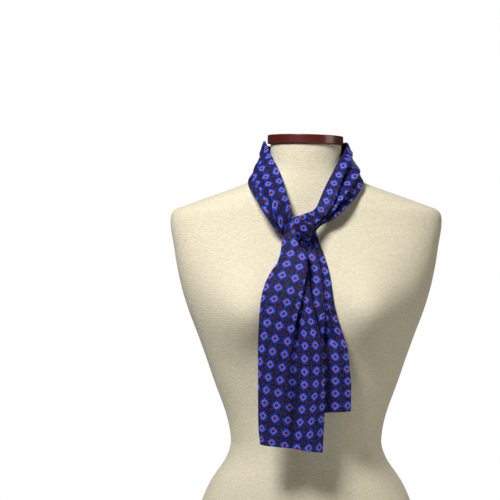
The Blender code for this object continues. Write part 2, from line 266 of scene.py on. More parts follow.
mahogany = {
    "dark": srgb(52, 8, 8), "light": srgb(112, 26, 22), "pore": srgb(26, 8, 9), "poreShare": 0.3,
    "grainStretch": (3, 26, 26), "grain": {"Scale": 5, "Detail": 5, "Distortion": 0.5},
    "poreStretch": (12, 160, 160), "pores": {"Scale": 5},
    "bump": {"Strength": 0.1, "Distance": 0.0003},
    "surface": {
        "Roughness": 0.38, "Specular IOR Level": 0.45, "Coat Weight": 0.6, "Coat Roughness": 0.15,
    },
}


def mahoganyMaterial():
    w = mahogany
    material, nodes, links, shader = newMaterial("mahogany")
    place = nodes.new("ShaderNodeTexCoord").outputs["Object"]
    grain = noiseNode(nodes, links, scaledVector(nodes, links, place, w["grainStretch"]), w["grain"])
    pores = noiseNode(nodes, links, scaledVector(nodes, links, place, w["poreStretch"]), w["pores"])
    tone = mixColour(nodes, links, grain, w["dark"], w["light"])
    faint = mathNode(nodes, links, "MULTIPLY", pores, w["poreShare"])
    tone = mixColour(nodes, links, faint, tone, w["pore"])
    links.new(tone, shader.inputs["Base Color"])
    setInputs(shader, w["surface"])
    links.new(bumpNode(nodes, links, pores, w["bump"]), shader.inputs["Normal"])
    return material


silk = foulardMaterial()
knitted = jerseyMaterial()
wood = mahoganyMaterial()
print("materials made")

# What every stretch of the cloth has in common. The hem is a shallow groove, hemWide in
# from the edge, with thicker cloth outside hemInner.
cloth = {
    "cutWide": 0.102, "hemWide": 4.2, "hemDip": 0.22, "hemSoft": 0.7, "endSoft": 0.9, "hemInner": 4.0,
    "leastPanel": 0.6, "leastTurn": 0.8, "fineSteps": 400, "leastRows": 8, "tangentStep": 0.3,
    "creaseFade": 0.6, "creaseEnds": 0.02, "shadePower": 1.6, "uvScale": 10,
}


def flatten(section):
    inner, outer, turn, seat, lift, panels = section
    numbers = list(inner) + list(outer) + [turn, seat, lift]
    for width, heading in panels:
        numbers += [width, heading]
    return numbers


# One section across the cloth, as many points over each panel and each pleat's turn.
def foldLine(panels, turn, perPanel, perTurn):
    x = n = used = 0.0
    points = [(x, n, used)]
    for k, (width, heading) in enumerate(panels):
        angle = math.radians(heading)
        for _ in range(perPanel):
            step = max(width, cloth["leastPanel"]) / perPanel
            x += step * math.cos(angle)
            n += step * math.sin(angle)
            used += step
            points.append((x, n, used))
        if k + 1 < len(panels):
            change = math.radians(panels[k + 1][1]) - angle
            step = max(turn * abs(change), cloth["leastTurn"]) / perTurn
            for j in range(perTurn):
                middle = angle + change * (j + 0.5) / perTurn
                x += step * math.cos(middle)
                n += step * math.sin(middle)
                used += step
                points.append((x, n, used))
    return points


def sectionCurve(numbers, along, side, perPanel, perTurn):
    inner = Vector(numbers[0:3])
    outer = Vector(numbers[3:6])
    turn, seat, lift = numbers[6:9]
    panels = [(numbers[i], numbers[i + 1]) for i in range(9, len(numbers), 2)]
    line = foldLine(panels, turn, perPanel, perTurn)
    near = min(line)
    far = max(line)
    top = max(p[1] for p in line)
    slope = (far[1] - near[1]) / (far[0] - near[0])
    across = outer - inner
    scale = across.length / (far[0] - near[0])
    across.normalize()
    normal = along.cross(across) * side
    normal.normalize()
    points = []
    for x, n, used in line:
        edges = near[1] + slope * (x - near[0])
        height = n + lift - seat * edges - (1 - seat) * top
        place = inner + across * ((x - near[0]) * scale) + normal * height
        points.append((place.x, place.y, place.z, used))
    return points


def middleOf(numbers):
    return (Vector(numbers[0:3]) + Vector(numbers[3:6])) / 2


# Rows of points down a strand, with the length run so far and the cloth used across.
def strandRows(table, first, spacing, perPanel, perTurn, side):
    flat = [flatten(s) for s in table]
    last = len(flat) - 1
    count = cloth["fineSteps"]
    fine = [first + (last - first) * k / count for k in range(count + 1)]
    middles = [middleOf(sample(flat, t)) for t in fine]
    lengths = [0.0]
    for a, b in zip(middles, middles[1:]):
        lengths.append(lengths[-1] + (b - a).length)
    rows = max(int(lengths[-1] / spacing), cloth["leastRows"])
    places = []
    runs = []
    k = 0
    for r in range(rows + 1):
        want = lengths[-1] * r / rows
        while k < count - 1 and lengths[k + 1] < want:
            k += 1
        share = (want - lengths[k]) / max(lengths[k + 1] - lengths[k], 1e-6)
        t = fine[k] + share * (fine[1] - fine[0])
        before = middleOf(sample(flat, max(t - cloth["tangentStep"], 0)))
        after = middleOf(sample(flat, min(t + cloth["tangentStep"], last)))
        along = (after - before).normalized()
        places.append(sectionCurve(sample(flat, t), along, side, perPanel, perTurn))
        runs.append(want)
    return np.array(places), np.array(runs)


def gridNormals(points):
    down = np.gradient(points, axis=0)
    over = np.gradient(points, axis=1)
    n = np.cross(down, over)
    return n / np.maximum(np.linalg.norm(n, axis=2, keepdims=True), 1e-9)


# Creases laid on the flat cloth: from (run, across) to (run, across) in mm,
# how deep (minus is a ridge) and how wide.
def creaseDepth(run, across, creases):
    ends = cloth["creaseEnds"]
    depth = np.zeros(run.shape)
    for r0, s0, r1, s1, deep, wide in creases:
        dr = r1 - r0
        ds = s1 - s0
        share = ((run - r0) * dr + (across - s0) * ds) / (dr * dr + ds * ds)
        held = np.clip(share, 0, 1)
        away = np.hypot(run - r0 - held * dr, across - s0 - held * ds)
        fade = np.sin(np.pi * np.clip(held, ends, 1 - ends)) ** cloth["creaseFade"]
        depth += deep * fade * np.exp(-(away / wide) ** 2)
    return depth


# Where the print falls on the cloth. places: at each run, how far across the columns of
# motifs lie; rows: how many rows of motifs have passed; drops: how far each column hangs
# below the first.
def layPrint(run, across, layout):
    column = np.zeros(run.shape)
    row = np.zeros(run.shape)
    placeRuns = [p[0] for p in layout["places"]]
    dropRuns = [d[0] for d in layout["drops"]]
    wide = max(len(p[1]) for p in layout["places"])
    margin = 2 * layout["pitch"]  # room for two more columns on each side
    filled = []
    for _, marks in layout["places"]:
        marks = list(marks)
        while len(marks) < wide:
            marks.append(marks[-1] + layout["pitch"])
        filled.append([marks[0] - margin] + marks + [marks[-1] + margin])
    counts = [-1.5] + [k + 0.5 for k in range(wide)] + [wide + 1.5]
    filled = np.array(filled)
    drops = np.array([d[1] for d in layout["drops"]])
    rowRuns = [r[0] for r in layout["rows"]]
    rowCounts = [r[1] for r in layout["rows"]]
    for k in range(run.shape[0]):
        here = run[k, 0]
        marks = [np.interp(here, placeRuns, filled[:, j]) for j in range(filled.shape[1])]
        column[k] = np.interp(across[k], marks, counts)
        hang = [np.interp(here, dropRuns, drops[:, j]) for j in range(drops.shape[1])]
        shifted = here - np.interp(column[k], layout["dropColumns"], hang)
        row[k] = np.interp(shifted, rowRuns, rowCounts)
    return column, row


def clothObject(name, settings, table):
    rows, runs = strandRows(table, settings["first"], settings["spacing"], settings["perPanel"],
                            settings["perTurn"], settings["side"])
    points = rows[:, :, 0:3]
    used = rows[:, :, 3]
    run = np.repeat(runs[:, None], used.shape[1], axis=1)
    steps = np.linalg.norm(np.diff(points, axis=1), axis=2)
    across = np.concatenate([np.zeros((len(runs), 1)), np.cumsum(steps, axis=1)], axis=1)
    normals = gridNormals(points) * settings["side"]
    depth = creaseDepth(run, across, settings["creases"])
    edge = np.minimum(used, used[:, -1:] - used)
    hem = np.exp(-((edge - cloth["hemWide"]) / cloth["hemSoft"]) ** 2) * cloth["hemDip"]
    if settings["hemEnd"]:
        ends = runs[-1] - run
        hem += np.exp(-((ends - cloth["hemWide"]) / cloth["endSoft"]) ** 2) * cloth["hemDip"]
        edge = np.minimum(edge, ends)
    points = points - normals * (depth + hem)[:, :, None]
    down, over = used.shape
    bm = bmesh.new()
    bmesh.ops.create_grid(bm, x_segments=over - 1, y_segments=down - 1, size=0.5)
    bm.verts.ensure_lookup_table()
    layer = bm.loops.layers.uv.new("cloth")
    printed = bm.loops.layers.uv.new("print")
    # The fold layer carries painted shade: the deeper a crease, the darker its hollow is painted.
    creaseShadeLayer = bm.loops.layers.uv.new("fold")
    shade = np.clip(depth / settings["deepest"], 0, 1) ** cloth["shadePower"]
    column, row = settings["print"](run, across)
    place = {}
    for v in bm.verts:
        c = round((v.co.x + 0.5) * (over - 1))
        r = round((v.co.y + 0.5) * (down - 1))
        place[v] = (r, c)
    for face in bm.faces:
        for loop in face.loops:
            r, c = place[loop.vert]
            loop[layer].uv = (across[r, c] * mm * cloth["uvScale"], run[r, c] * mm * cloth["uvScale"])
            loop[printed].uv = (column[r, c], row[r, c])
            loop[creaseShadeLayer].uv = (shade[r, c], 0)
    for v, (r, c) in place.items():
        v.co = Vector(points[r, c]) * mm
    bmesh.ops.recalc_face_normals(bm, faces=bm.faces)
    order = [place[v] for v in bm.verts]
    obj = linkedObject(name, bm)
    thick = obj.vertex_groups.new(name="hem")
    for i, (r, c) in enumerate(order):
        if edge[r, c] < cloth["hemInner"]:
            thick.add([i], 1.0, "REPLACE")
    obj.data.polygons.foreach_set("use_smooth", [True] * len(obj.data.polygons))
    wall = obj.modifiers.new("wall", "SOLIDIFY")
    wall.thickness = settings["hemThick"] * mm
    wall.offset = 0
    wall.vertex_group = "hem"
    wall.thickness_vertex_group = settings["thin"]
    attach(obj, "root")
    print("cloth", name, "rows", down, "columns", over, "run mm", round(float(runs[-1]), 1))
    return obj, float(runs[-1]), float(used[:, -1].mean())


# The main strand: behind the knot, round the neck, across the throat, down in front.
# Every strand runs through sections. A section gives the inner edge of what shows, the
# outer edge, the radius its pleats turn at, how far it is seated by its edges (1)
# or by its highest fold (0), how far it stands off there, and its panels as width and
# heading pairs. Heading 0 lies along the face, 180 doubles back. This strand has a
# turned edge, three faces with two pleats between them, and the other edge.
strandSections = (
    # behind the knot, then up the wearer's right side of the neck
    ((-3, -87.5, 561), (-7, -87.5, 545), 1.45, 0, 0,
     ((4, 150), (11, 12), (6, -178), (9, 12), (4, -120), (8, 4), (4, -120))),
    ((-21.6, -89.5, 576.4), (-34.4, -97, 548.8), 1.5, 0.4, 1,
     ((5, 170), (27, 12), (8, -177), (10, 12), (8, -177), (8, 2), (5, -185))),
    ((-24.9, -83, 589.8), (-55.5, -94, 567.9), 1.5, 1, 3,
     ((6, 174), (33, 12), (7, -150), (10, 12), (7, -170), (11, -8), (8, -188))),
    ((-29.8, -70, 606.3), (-71.7, -78, 595.2), 1.6, 1, 3,
     ((10, 178), (36, 11), (5, -60), (10, 10), (4, -120), (12, -12), (12, -188))),
    ((-35.1, -54, 627.2), (-81.2, -53, 612.8), 1.7, 1, 3,
     ((14, 182), (40, 10), (5, -42), (8, 8), (3, -60), (14, -14), (15, -190))),
    ((-42.8, -37, 647.8), (-82.4, -37, 621.8), 1.8, 1, 3,
     ((17, 184), (36, 8), (5, -35), (10, 8), (4, -45), (16, -14), (16, -190))),
    ((-51.4, -20, 667), (-76.5, 4, 633), 1.8, 1, 2,
     ((18, 182), (23, 6), (4, -34), (16, 4), (4, -40), (22, -8), (17, -186))),
    # round the nape
    ((-59.6, 4, 685.5), (-68.5, 30, 632), 1.6, 1, 0.5,
     ((18, 182), (22, 3), (4, -26), (17, 4), (4, -34), (21, -8), (16, -186))),
    ((-54.5, 27, 679.3), (-62, 52, 630), 1.8, 1, 2,
     ((18, 182), (21, 6), (4, -36), (18, 4), (4, -38), (21, -8), (16, -186))),
    ((-38, 44, 678), (-53, 64, 628), 1.8, 1, 2,
     ((17, 182), (20, 8), (5, -46), (19, 5), (4, -40), (21, -10), (16, -188))),
    ((-18, 55.5, 677.5), (-20, 74, 626), 1.8, 1, 2,
     ((16, 182), (21, 10), (5, -56), (19, 5), (4, -36), (21, -12), (16, -188))),
    ((14, 56, 677), (18, 74, 625.5), 1.8, 1, 2,
     ((16, 182), (22, 10), (5, -50), (17, 5), (5, -46), (21, -12), (16, -188))),
    ((42, 39, 677), (52, 64.5, 627.5), 1.8, 1, 2,
     ((16, 182), (21, 8), (4, -44), (17, 5), (5, -54), (22, -10), (15, -188))),
    ((58.6, 6, 683.5), (68.5, 36, 632), 1.6, 1, 0.5,
     ((15, 182), (19, 6), (5, -44), (18, 4), (5, -46), (23, -8), (16, -186))),
    ((52.8, -20, 666), (76.5, 4, 633), 1.8, 1, 1.8,
     ((12, 182), (18, 8), (6, -60), (18, 6), (5, -48), (24, -10), (16, -186))),
    # down the wearer's left side of the neck
    ((45.2, -35, 653.8), (78.9, -42, 619), 1.7, 1, 3,
     ((8, 182), (17.5, 12), (7, -95), (26, 10), (6, -60), (15, -20), (15, -190))),
    ((36, -50, 636), (69.9, -58, 602.8), 1.6, 1, 3,
     ((6, 180), (17, 14), (8, -135), (24, 12), (6, -80), (14, -22), (12, -190))),
    ((26.1, -64, 616.9), (57.8, -71, 589.5), 1.5, 1, 3,
     ((6, 176), (17, 14), (9, -165), (20, 14), (7, -125), (14, -20), (9, -188))),
    ((17.7, -79, 598.7), (43, -85, 576.6), 1.5, 0.7, 2,
     ((5, 174), (17, 12), (9, -174), (14, 12), (8, -165), (15, -8), (6, -186))),
    ((12.2, -95, 586.3), (25.6, -96, 566.5), 1.45, 0, 0,
     ((4, 170), (15, 12), (8, -178), (11, 12), (8, -178), (12, 2), (4, -182))),
    # across the throat, under the wrap
    ((-0.1, -106.5, 579.7), (14, -105.5, 553.7), 1.45, 0, 0,
     ((4, 160), (18, 12), (8, -178), (13, 12), (8, -178), (14, 4), (4, -170))),
    ((-12.1, -110, 575.4), (4.1, -109, 547.4), 1.45, 0, 0,
     ((4, 140), (20, 11), (8, -178), (14, 12), (8, -178), (14, 5), (4, -130))),
    ((-21.9, -111.5, 571.2), (-2.3, -111, 543.1), 1.45, 0, 0,
     ((4, 110), (22, 10), (8, -178), (15, 12), (8, -178), (15, 6), (4, -90))),
    # out from under it as the long end
    ((-29.7, -112.5, 560), (-3.7, -113, 540.3), 1.5, 0, 0,
     ((5, 80), (22, 8), (9, -178), (16, 10), (8, -178), (16, 6), (5, -60))),
    ((-35.6, -114.5, 543.8), (-3.1, -116, 536.8), 1.5, 0, 0,
     ((7, 45), (25, 5), (14, -178), (16, 6), (6, -174), (16, 4), (7, -40))),
    ((-38.2, -121, 529.8), (-1.8, -123.5, 525.6), 1.6, 0, 0,
     ((8, 34), (29, 3), (20, -178), (11, 4), (4, -10), (3, -6), (2, -16))),
    ((-42.5, -130, 514.4), (-1.3, -132.5, 510.3), 1.8, 0, 0,
     ((9, 34), (33, 2), (22, -178), (13, 3), (4, -14), (3, -6), (2, -16))),
    ((-52.4, -139, 499.2), (-0.5, -142, 496.4), 2, 0, 0,
     ((10, 34), (41, 0), (22, -176), (14, 4), (4, -12), (4, -4), (2, -20))),
    ((-61.5, -146.5, 479.9), (1.3, -151, 477.1), 2.1, 0, 0,
     ((10, 32), (45, -2), (16, -172), (12, 8), (3, -6), (4, 2), (5, -24))),
    ((-66.7, -152, 457.9), (4.8, -158, 455.1), 2.2, 0, 0,
     ((10, 30), (47, -4), (10, -160), (11, 18), (4, -2), (4, 2), (6, -26))),
    ((-69.2, -155, 430.6), (9.6, -162, 429.1), 2.2, 0, 0,
     ((10, 30), (46, -6), (8, -115), (14, 28), (4, -2), (6, -2), (8, -28))),
    ((-70.6, -156, 396.3), (16.5, -163.5, 396.2), 3, 0, 0,
     ((9, 30), (43, -8), (8, -58), (14, 30), (6, 0), (8, -6), (9, -28))),
    ((-70.6, -155, 359.2), (19.9, -162.5, 358.6), 6, 0, 0,
     ((9, 28), (38, -8), (9, -36), (14, 24), (8, 2), (12, -8), (10, -26))),
    ((-70.6, -154, 317.8), (20.6, -161.5, 316.7), 9, 0, 0,
     ((9, 26), (39, -8), (10, -26), (14, 20), (8, 2), (18, -8), (10, -24))),
    ((-70, -153, 281.7), (19.4, -160, 280.2), 11, 0, 0,
     ((9, 26), (39, -8), (10, -22), (14, 18), (8, 2), (18, -8), (10, -26))),
    ((-67.8, -152, 257.2), (17.6, -159, 245.6), 11, 0, 0,
     ((10, 30), (39, -9), (10, -22), (14, 18), (8, 2), (18, -8), (10, -30))),
)

strandPrint = {
    "pitch": 18.3,
    "places": (
        (0, (8, 29, 52, 72, 90)),
        (30, (12.5, 36, 57, 76, 94)),
        (46, (14.7, 36, 57, 76, 94)),
        (86, (17.7, 35.2, 53, 72, 91)),
        (150, (17.7, 36, 54, 73, 91)),
        (300, (18, 36.3, 54.6, 73, 91)),
        (445, (19.6, 39, 58.5, 77.7, 96)),
        (492, (18.7, 33, 47.5, 62, 78)),
        (518, (9, 24, 40, 56, 72)),
        (545, (10, 25, 41, 57, 73)),
        (575, (21, 36, 52, 68, 84)),
        (592, (15.6, 32.3, 50, 68, 86)),
        (610, (17, 36.5, 54, 70, 84)),
        (630, (21.4, 40.5, 58, 70, 82, 97, 114)),
        (650, (22, 40.5, 57, 69, 81, 95, 112)),
        (680, (16, 35.7, 54, 66, 79, 91.5, 109)),
        (714, (9.5, 25, 44, 59, 75, 88, 103)),
        (750, (3.4, 18.8, 36, 52, 70.3, 88.4, 101)),
        (785, (-2, 13.2, 29.8, 50, 69.3, 85.6, 95.5)),
        (820, (-8, 8.5, 25.6, 45, 64.4, 79.5, 92.5)),
        (866, (-13, 2.5, 18.4, 37, 56.3, 73.2, 88)),
    ),
    "rows": (
        (-60, -8.5), (30.3, 0.5), (86.3, 3.5), (156.8, 7.5), (442, 23.5), (503.7, 27.5), (537.9, 29.5),
        (573.2, 31.5), (607.8, 33.5), (645, 35.5), (694.5, 38.5), (748.5, 41.5), (801.8, 44.5),
        (856.5, 47.5), (910.5, 50.5),
    ),
    "dropColumns": (0.5, 2.5, 4.5, 6.5),
    "drops": (
        (0, (0, -15, -30, -45)),
        (160, (0, -15, -30, -45)),
        (400, (0, 0, 0, 0)),
        (545, (0, 0, 0, 0)),
        (592, (0, 8, 15, 14)),
        (780, (0, 8, 14.5, 11)),
        (866, (0, 7, 12, 7)),
    ),
}
# first: the section it starts in; side: which way its folds face; hemThick: the wall at
# the hem, and thin its share elsewhere; deepest: how deep a crease is where its painted
# shade is darkest.
strandSettings = {
    "first": 0.5, "spacing": 2.0, "perPanel": 7, "perTurn": 6, "side": 1,
    "hemEnd": True, "hemThick": 1.25, "thin": 0.55, "deepest": 1.6,
    "print": lambda run, across: layPrint(run, across, strandPrint),
    "creases": (
        (72, 60, 40, 66, 0.9, 2.2), (64, 68, 34, 73, 0.7, 2.0), (52, 52, 24, 50, 0.7, 2.0),
        (44, 22, 20, 26, 0.8, 2.4),
        (180, 30, 290, 36, 1.2, 5), (210, 60, 330, 52, -1.0, 6), (300, 24, 400, 30, 1.1, 5),
        (330, 70, 430, 64, 1.0, 5), (240, 80, 300, 84, 0.8, 4),
        (420, 10, 500, 12, -0.6, 5), (436, 80, 474, 98, 1.1, 2.4), (452, 70, 500, 60, 0.9, 2.2),
        (549, 7, 528, 25, 2.2, 2.4), (531, 25, 520, 46, 2.0, 2.4), (545, 24, 530, 38, -0.9, 2.2),
        (566, 1, 553, 22, 2.2, 1.9), (564, 31, 586, 27, 1.6, 1.8), (560, 14, 600, 10, 0.9, 2.4),
        (572, 18, 600, 22, -0.8, 3.0), (516, 8, 506, 30, 1.5, 2.0), (512, 36, 500, 60, 1.2, 2.2),
        (20, 4, 6, 30, 1.3, 2.0), (26, 40, 8, 48, 1.2, 2.0),
        (600, 26, 690, 30, 0.7, 7), (640, 8, 720, 12, -0.7, 5), (620, 48, 700, 46, 1.0, 4),
        (720, 34, 800, 26, 0.7, 8), (735, 61, 866, 48, 1.3, 8), (770, 82, 866, 74, -0.9, 7),
        (790, 20, 866, 14, 0.7, 6), (700, 84, 780, 80, 0.7, 5),
    ),
}

# The strand brought over the front, from beneath the knot up to the throat.
wrapSections = (
    ((-3, -103.5, 537.3), (6, -102.5, 541), 1.7, 0, 0, ((4, 30), (6, 10), (4, -20), (4, -40))),
    ((-6, -115, 540.8), (6.5, -112, 545.6), 1.7, 0, 0, ((5, 36), (6, 12), (6, -12), (4, -46))),
    ((-11.8, -119.5, 547.2), (8.3, -116, 554.3), 1.7, 0, 0, ((7, 36), (9, 12), (8, -12), (7, -48))),
    ((-16, -121, 553.5), (8.9, -116.5, 561.9), 1.7, 0, 0, ((8, 36), (11, 12), (10, -14), (8, -50))),
    ((-19.1, -121, 561), (0.1, -118.5, 566.4), 1.7, 0, 0, ((7, 36), (9, 12), (8, -14), (6, -46))),
    ((-20.5, -119.5, 567), (-9.8, -117.5, 569.6), 1.7, 0, 0, ((4, 36), (5, 12), (4, -12), (3, -42))),
    ((-20.3, -116, 570.8), (-12.5, -115, 572.8), 1.7, 0, 0, ((3, 30), (4, 10), (3, -10), (2, -35))),
    ((-19, -113.7, 571.8), (-12.5, -112.9, 573.6), 1.7, 0, 0, ((3, 20), (3, 5), (2, -5), (2, -20))),
)
# Here the motifs stand askew, in even rows from one that is placed.
wrapPrint = {
    "alongRun": -0.909, "alongAcross": 0.417, "pitch": 16.5, "startRun": 28.8, "startAcross": 12.8,
}


def layWrapPrint(run, across):
    w = wrapPrint
    ahead = run - w["startRun"]
    over = across - w["startAcross"]
    column = (ahead * w["alongRun"] + over * w["alongAcross"]) / w["pitch"] + 0.5
    row = (over * -w["alongRun"] + ahead * w["alongAcross"]) / w["pitch"] + 0.5
    return column, row


wrapSettings = {
    "first": 0, "spacing": 0.8, "perPanel": 16, "perTurn": 4, "side": -1,
    "hemEnd": False, "hemThick": 1.0, "thin": 0.8, "deepest": 1.2,
    "print": layWrapPrint,
    "creases": (
        (44, 13, 14, 24, 1.3, 1.6), (38, 6, 8, 10, 1.1, 1.4), (34, 19, 12, 30, -0.9, 1.9),
        (47, 8, 38, 16, 0.9, 1.3), (24, 4, 4, 18, 0.9, 1.5), (46, 15, 30, 27, 1.2, 1.4),
        (25, 18, 2, 17, 1.3, 4.2),
    ),
}

# The short end, from behind the knot to its hem.
shortSections = (
    ((-10, -92.5, 566), (8, -91.5, 561), 1.3, 0, 0, ((5, 20), (12, 6), (6, -178), (8, 8), (5, -6))),
    ((-11.2, -92.8, 549.5), (12.8, -92.8, 551), 1.3, 0, 0, ((5, 20), (17, 6), (8, -178), (11, 8), (7, -6))),
    ((-9.8, -96, 538.3), (16.2, -96.5, 539.7), 1.4, 0, 0, ((6, 22), (20, 5), (12, -178), (14, 6), (9, -8))),
    ((-10, -101.5, 521.4), (22.8, -102.5, 521.4), 1.6, 0, 0,
     ((7, 24), (24, 3), (15, -178), (18, 6), (11, -10))),
    ((-10.9, -111, 501.8), (28.6, -112.5, 501.8), 1.7, 0, 0,
     ((8, 24), (28, 2), (17, -178), (20, 6), (12, -14))),
    ((-13.3, -123, 479.6), (32.2, -124, 479.6), 1.8, 0, 0,
     ((9, 24), (32, 0), (16, -176), (20, 8), (12, -16))),
    ((-14.9, -134, 457.6), (35.1, -133.5, 457.5), 1.9, 0, 0,
     ((9, 24), (35, -2), (15, -174), (20, 10), (12, -18))),
    ((-17.2, -139, 435.6), (40.1, -139, 435.6), 2, 0, 0,
     ((9, 24), (38, -4), (12, -164), (22, 14), (12, -20))),
    ((-20.1, -141, 415), (46.2, -142, 414.9), 2, 0, 0,
     ((9, 22), (42, -5), (10, -130), (24, 20), (12, -22))),
    ((-22.2, -141.5, 394.4), (52.6, -143, 394.2), 3, 0, 0,
     ((9, 20), (46, -6), (9, -60), (25, 18), (12, -20))),
    ((-24.3, -141, 372.2), (55.8, -142.5, 372), 5, 0, 0,
     ((9, 20), (49, -6), (8, -30), (25, 12), (12, -18))),
    ((-25.6, -140, 343.4), (58.7, -141, 343.6), 7, 0, 0,
     ((9, 20), (51, -5), (8, -20), (24, 10), (11, -18))),
    ((-26.3, -139, 318.8), (58.9, -140, 320.6), 8, 0, 0, ((9, 20), (51, -5), (8, -16), (24, 8), (11, -20))),
    ((-26.9, -138, 297.4), (58.6, -139.5, 301.8), 8, 0, 0,
     ((9, 22), (51, -5), (8, -16), (24, 8), (11, -24))),
)
shortPrint = {
    "pitch": 18.3,
    "places": (
        (0, (8, 26, 44, 62)),
        (22, (10, 26, 43.9, 60)),
        (50, (16.7, 32, 48, 65)),
        (85, (25.1, 42, 59, 76)),
        (122, (26.8, 44, 60, 76)),
        (140, (20, 38, 56, 70.7, 86)),
        (160, (8, 24, 40.9, 66, 84)),
        (178, (8, 24, 42, 68.5, 82)),
        (196, (10, 28, 46, 65.3, 80)),
        (230, (10, 28, 46, 65, 82.8)),
        (266, (10, 28, 46, 65.4, 83.8)),
    ),
    "rows": (
        (-40, -2.5), (21.5, 0.5), (49.6, 2.0), (66.4, 3.0), (84.6, 4.0), (103.9, 5.0), (122.3, 6.0),
        (138.6, 7.0), (157.5, 8.0), (178.3, 9.0), (196.5, 10.0), (213.3, 11.0), (230.1, 12.0),
        (247.8, 13.0), (265.7, 14.0), (300, 15.9),
    ),
    "dropColumns": (0.5, 2.5, 3.5, 4.5),
    "drops": (
        (0, (0, 0, 0, 0)),
        (122, (0, 0, 2, 4)),
        (178, (0, -2, 0, 0)),
        (280, (0, -2, 0, 0)),
    ),
}


def layShortPrint(run, across):
    column, row = layPrint(run, across, shortPrint)
    return column, row + 0.5


shortSettings = {
    "first": 0, "spacing": 2.0, "perPanel": 9, "perTurn": 6, "side": 1,
    "hemEnd": True, "hemThick": 1.25, "thin": 0.55, "deepest": 1.6,
    "print": layShortPrint,
    "creases": (
        (52, 63, 100, 77, 1.4, 2.2), (96, 77, 166, 77, 1.6, 2.6), (24, 50, 60, 60, 0.8, 2.0),
        (60, 30, 140, 36, 0.7, 5), (150, 44, 268, 38, 1.2, 6), (176, 62, 268, 58, -0.8, 7),
        (200, 76, 268, 74, 0.6, 5), (110, 92, 190, 88, 0.8, 3),
    ),
}

strand, strandRun, _ = clothObject("foulard_strand", strandSettings, strandSections)
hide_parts("neck_band_right", "neck_band_back", "neck_band_left", "knot_core", "tail_long")
wrap, wrapRun, wrapWide = clothObject("foulard_wrap", wrapSettings, wrapSections)
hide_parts("knot_wrap")
short, shortRun, _ = clothObject("foulard_short_end", shortSettings, shortSections)
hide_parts("tail_short")
for piece in (strand, wrap, short):
    piece.data.materials.append(silk)

formBase = 20.3  # where the form stands on the board
neckTop = 680.4
# Sections of the form: height, half width, front depth, back depth, squareness.
formSections = (
    (formBase, 163, 96, 108, 2.15),
    (24, 167, 99, 112, 2.15),
    (50, 171, 102, 118, 2.15),
    (80, 172, 103, 122, 2.15),
    (120, 166, 103, 122, 2.15),
    (162, 152, 101, 112, 2.15),
    (187, 141, 99, 103, 2.15),
    (203, 131, 97, 96, 2.15),
    (222, 118, 95, 89, 2.1),
    (243, 110, 94, 84, 2.1),
    (262, 110.5, 94, 83, 2.1),
    (280, 114, 95, 84, 2.1),
    (300, 120, 97, 86, 2.1),
    (335, 133, 102, 91, 2.15),
    (370, 145, 107, 96, 2.2),
    (406, 158, 111, 100, 2.25),
    (440, 171, 112, 103, 2.3),
    (473, 181, 109, 106, 2.35),
    (505, 188, 97, 107, 2.4),
    (533, 192.5, 83, 105, 2.4),
    (556, 196.5, 71.5, 101, 2.35),
    (570, 197.5, 66, 96, 2.3),
    (579, 196, 63.3, 91, 2.25),
    (585.5, 191, 61.7, 87.5, 2.2),
    (590, 181, 60.8, 84.5, 2.15),
    (596, 164, 59.6, 80.5, 2.1),
    (603, 145, 58.2, 76, 2.1),
    (611, 122.5, 56.6, 71, 2.05),
    (618, 103, 55.2, 66.8, 2.0),
    (625, 85, 54, 63, 2.0),
    (632, 71.5, 53, 59.5, 2.0),
    (640, 61, 52, 57, 2.0),
    (650, 54.5, 51.5, 55, 2.0),
    (664, 52, 51.5, 53.5, 2.0),
    (neckTop, 51.5, 51.5, 53, 2.0),
)
# Bust: side, height, swell, reach across, reach up, reach down.
bust = ((-88, 440, 34, 47, 46, 52), (88, 440, 34, 47, 46, 52))
# ring: points round the form; between: sections blended in for each one given. The neck's
# top tilts with the cap, and the bust fades out towards the sides.
formSettings = {"ring": 144, "between": 4, "tilt": 1.3, "tiltBand": 3, "bustFade": 40}


def formPoint(section, angle):
    s = formSettings
    height, half, front, back, power = section
    across = math.cos(angle)
    ahead = math.sin(angle)
    x = half * math.copysign(abs(across) ** (2 / power), across)
    depth = front if ahead < 0 else back
    y = depth * math.copysign(abs(ahead) ** (2 / power), ahead)
    if y < 0:
        for side, up, swell, wide, above, below in bust:
            reach = above if height > up else below
            away = ((x - side) / wide) ** 2 + ((height - up) / reach) ** 2
            y -= swell * math.exp(-away) * min(1.0, -y / s["bustFade"])
    if height > neckTop - s["tiltBand"]:
        height -= x * math.tan(math.radians(s["tilt"]))
    return Vector((x, y, height)) * mm


def addForm():
    s = formSettings
    sections = []
    for i in range(len(formSections) - 1):
        for k in range(s["between"]):
            sections.append(sample(formSections, i + k / s["between"]))
    sections.append(list(formSections[-1]))
    for section in sections:
        section[0] = min(max(section[0], formBase), neckTop)
    bm = bmesh.new()
    bmesh.ops.create_circle(bm, cap_ends=True, segments=s["ring"], radius=1)
    number = bm.verts.layers.int.new("number")
    for k, v in enumerate(bm.verts):
        v[number] = k
    top = next(iter(bm.faces))
    for i, section in enumerate(sections):
        if i > 0:
            raised = bmesh.ops.extrude_face_region(bm, geom=[top] + top.edges[:])["geom"]
            top = next(item for item in raised if isinstance(item, bmesh.types.BMFace))
        for v in top.verts:
            v.co = formPoint(section, 2 * math.pi * v[number] / s["ring"])
    bm.verts.layers.int.remove(number)
    bmesh.ops.recalc_face_normals(bm, faces=bm.faces)
    obj = linkedObject("padded_form", bm)
    for face in obj.data.polygons:
        face.use_smooth = len(face.vertices) == 4
    obj.data.materials.append(knitted)
    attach(obj, "root")
    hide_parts("dress_form")
    print("form made", len(obj.data.polygons))


def roundedEdges(obj, width):
    edge = obj.modifiers.new("edge", "BEVEL")
    edge.width = width * mm
    edge.segments = 3
    edge.limit_method = "ANGLE"
    edge.angle_limit = math.radians(50)
    edge.harden_normals = True
    obj.data.polygons.foreach_set("use_smooth", [True] * len(obj.data.polygons))


